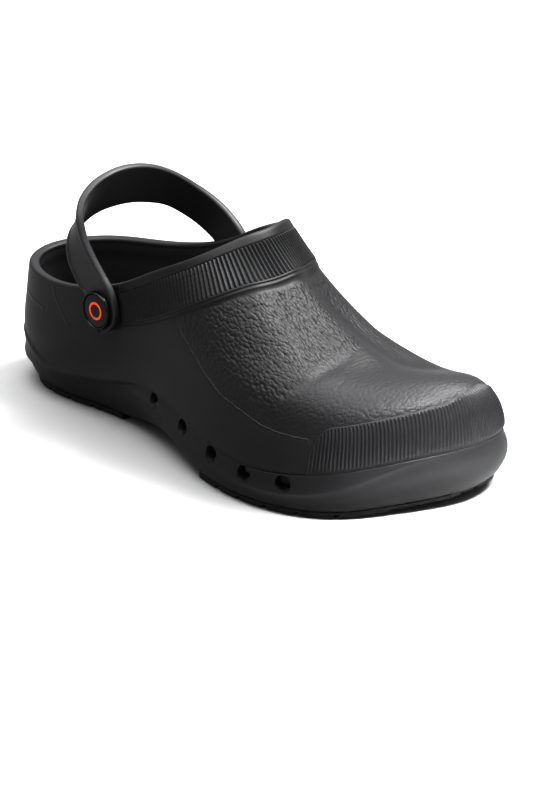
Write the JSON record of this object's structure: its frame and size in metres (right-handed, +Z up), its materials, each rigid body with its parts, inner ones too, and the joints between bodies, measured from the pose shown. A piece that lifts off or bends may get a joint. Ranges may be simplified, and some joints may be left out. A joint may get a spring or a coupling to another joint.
{
  "type": "hospital clog",
  "caption": "Closed-toe moulded foam clog for the right foot, with ribbed toe cap and collar band, vented sole unit, lugged tread, loose insole and riveted heel strap.",
  "frame": {"origin": "middle of the bounding box, on the floor that heel and forefoot stand on", "axes": "+X from heel to toe, +Y to the big-toe side, +Z up"},
  "size_m": [0.2728, 0.1147, 0.1137],
  "materials": {
    "charcoal_foam": "satin moulded foam",
    "sole_foam": "satin moulded foam",
    "tread_rubber": "matt rubber",
    "footbed_foam": "matt foam",
    "strap_foam": "satin moulded foam",
    "rivet_plastic": "gloss moulded plastic"
  },
  "bodies": {
    "root": {"upper": "charcoal_foam", "midsole": "sole_foam", "outsole_heel": "tread_rubber", "outsole_forefoot": "tread_rubber", "insole": "footbed_foam", "heel_strap": "strap_foam", "rivet_outer": "rivet_plastic", "rivet_inner": "rivet_plastic"}
  },
  "joints": []
}
